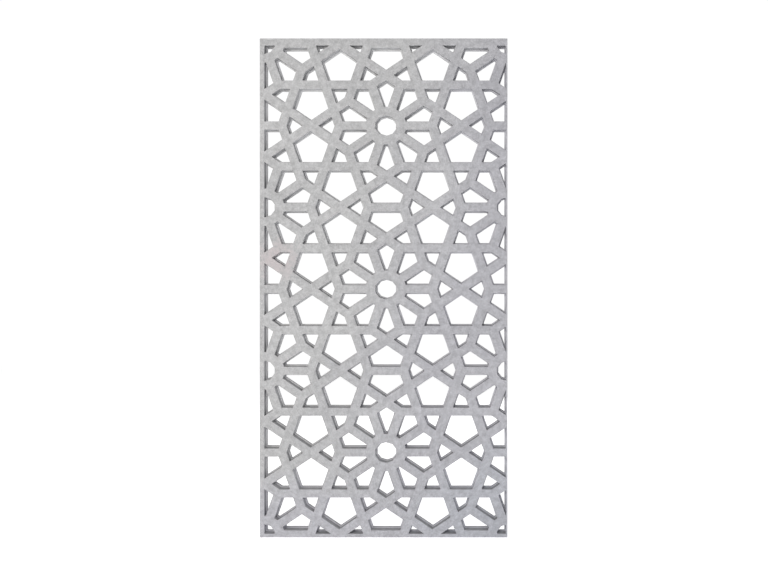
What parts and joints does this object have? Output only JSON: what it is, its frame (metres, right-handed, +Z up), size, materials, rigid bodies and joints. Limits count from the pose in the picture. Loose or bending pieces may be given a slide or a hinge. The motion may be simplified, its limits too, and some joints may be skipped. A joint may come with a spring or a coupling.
{
  "type": "mashrabiya screen panel",
  "caption": "Upright pierced screen panel of cast stone: straight stepped bars cross into ten-pointed rosettes, pentagons and kites inside a narrow flush border, for shade and privacy.",
  "frame": {"origin": "middle of the panel's underside, halfway through its thickness, where it sits on its sill", "axes": "+Z up, +X to the right seen from the face, -Y the way the face looks, +Y the back"},
  "size_m": [1.191, 0.05, 2.4],
  "materials": {
    "cast_stone": "pale grey cast stone or fibre-reinforced concrete, matt, fine-grained, with faint cloudy tone and soft arrises"
  },
  "bodies": {
    "root": {"screen_panel": "cast_stone"}
  },
  "joints": []
}
